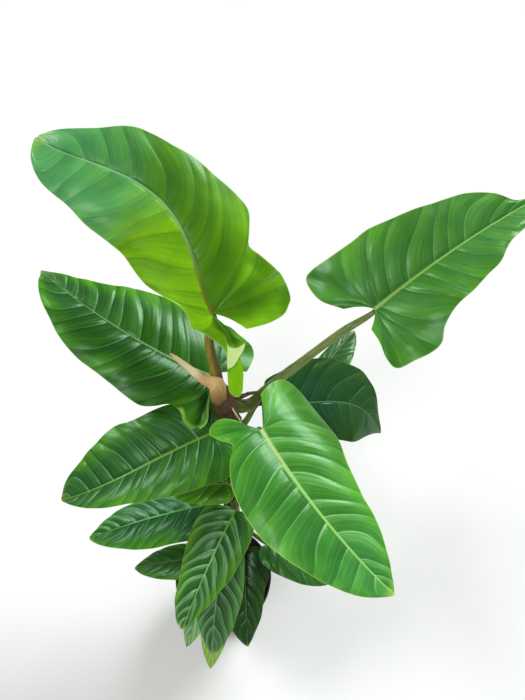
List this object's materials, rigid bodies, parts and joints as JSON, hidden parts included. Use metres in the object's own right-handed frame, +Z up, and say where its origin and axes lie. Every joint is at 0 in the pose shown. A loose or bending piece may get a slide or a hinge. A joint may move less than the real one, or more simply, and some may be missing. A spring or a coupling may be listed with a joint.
{
  "type": "potted philodendron",
  "caption": "Potted philodendron with a leaning stem and large glossy heart-shaped leaves on long stalks, rooted in soil in a plain round nursery pot.",
  "frame": {"origin": "middle of the pot's flat underside", "axes": "+Z up, -Y towards the viewer, +X to the viewer's right"},
  "size_m": [0.8312, 0.5857, 0.9969],
  "materials": {
    "pot_plastic": "black-brown moulded nursery plastic, dull and slightly dusty",
    "soil": "dark crumbly potting mix with bark chips",
    "stem": "reddish-brown fibrous stem with leaf scars",
    "leaf_new": "fresh yellow-green blade, quilted between sunken veins, semi-gloss",
    "leaf_light": "mid-green glossy blade with pale midrib and veins and a thin pale margin",
    "leaf_dark": "dark green glossy quilted blade with a pale midrib and a maroon-brown underside",
    "stalk": "olive-brown leaf stalk with fine lengthwise stripes",
    "sheath": "thin orange-tan sheath of the youngest leaf, satin",
    "old_sheath": "dried grey-brown fibrous sheath",
    "aerial_root": "cream-coloured aerial root, matt"
  },
  "bodies": {
    "root": {"pot": "pot_plastic", "soil": "soil", "stem": "stem", "blade_01": "leaf_new", "blade_02": "leaf_dark", "blade_03": "leaf_dark", "blade_04": "leaf_light", "blade_05": "leaf_light", "blade_06": "leaf_dark", "blade_07": "leaf_dark", "blade_08": "leaf_light", "blade_09": "leaf_dark", "blade_10": "leaf_dark", "blade_11": "leaf_light", "blade_12": "leaf_light", "blade_13": "leaf_dark", "blade_14": "leaf_light", "blade_15": "leaf_dark", "blade_16": "leaf_dark", "stalk_01": "stalk", "stalk_02": "stalk", "stalk_03": "stalk", "stalk_04": "stalk", "stalk_05": "stalk", "stalk_06": "stalk", "stalk_07": "stalk", "stalk_08": "stalk", "stalk_09": "stalk", "stalk_10": "stalk", "stalk_11": "stalk", "stalk_12": "stalk", "stalk_13": "stalk", "stalk_14": "stalk", "stalk_15": "stalk", "stalk_16": "stalk", "sheath": "sheath", "old_sheath": "old_sheath", "aerial_root_1": "aerial_root", "aerial_root_2": "aerial_root"}
  },
  "joints": []
}
